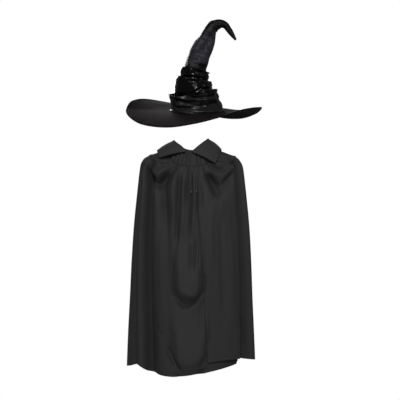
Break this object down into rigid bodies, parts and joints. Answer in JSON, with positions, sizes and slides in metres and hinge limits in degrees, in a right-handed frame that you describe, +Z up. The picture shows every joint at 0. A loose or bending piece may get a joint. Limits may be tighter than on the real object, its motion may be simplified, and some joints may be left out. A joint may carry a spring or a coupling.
{
  "type": "witch carnival costume, hat and cape",
  "caption": "Worn, hollow witch's costume: a gathered cape with spread collar, lapped fronts and drawstring, and above it a wide-brimmed pointed hat with a bent tip and draped bands.",
  "frame": {"origin": "middle of the cape's neck opening, level with the collar seam, which is where the wearer holds the cape", "axes": "+Z up, -Y the way the wearer faces, +X the wearer's left, which is the viewer's right from the front"},
  "size_m": [0.5405, 0.54, 1.3901],
  "materials": {
    "cape_cloth": "thin matt black polyester",
    "collar_felt": "stiffened matt black cloth",
    "cord": "black braided cord",
    "brim_felt": "stiffened black cloth, napped",
    "crown_satin": "crumpled black satin",
    "drape_satin": "draped black satin"
  },
  "bodies": {
    "root": {"cape_back": "cape_cloth", "cape_front_under": "cape_cloth", "cape_front_over": "cape_cloth", "neck_casing": "cape_cloth", "collar": "collar_felt", "drawstring_left": "cord", "drawstring_right": "cord", "knot_left": "cord", "knot_right": "cord", "hat_brim": "brim_felt", "hat_crown": "crown_satin", "hat_sash": "drape_satin", "hat_middle_drape": "drape_satin", "hat_upper_drape": "drape_satin"}
  },
  "joints": []
}
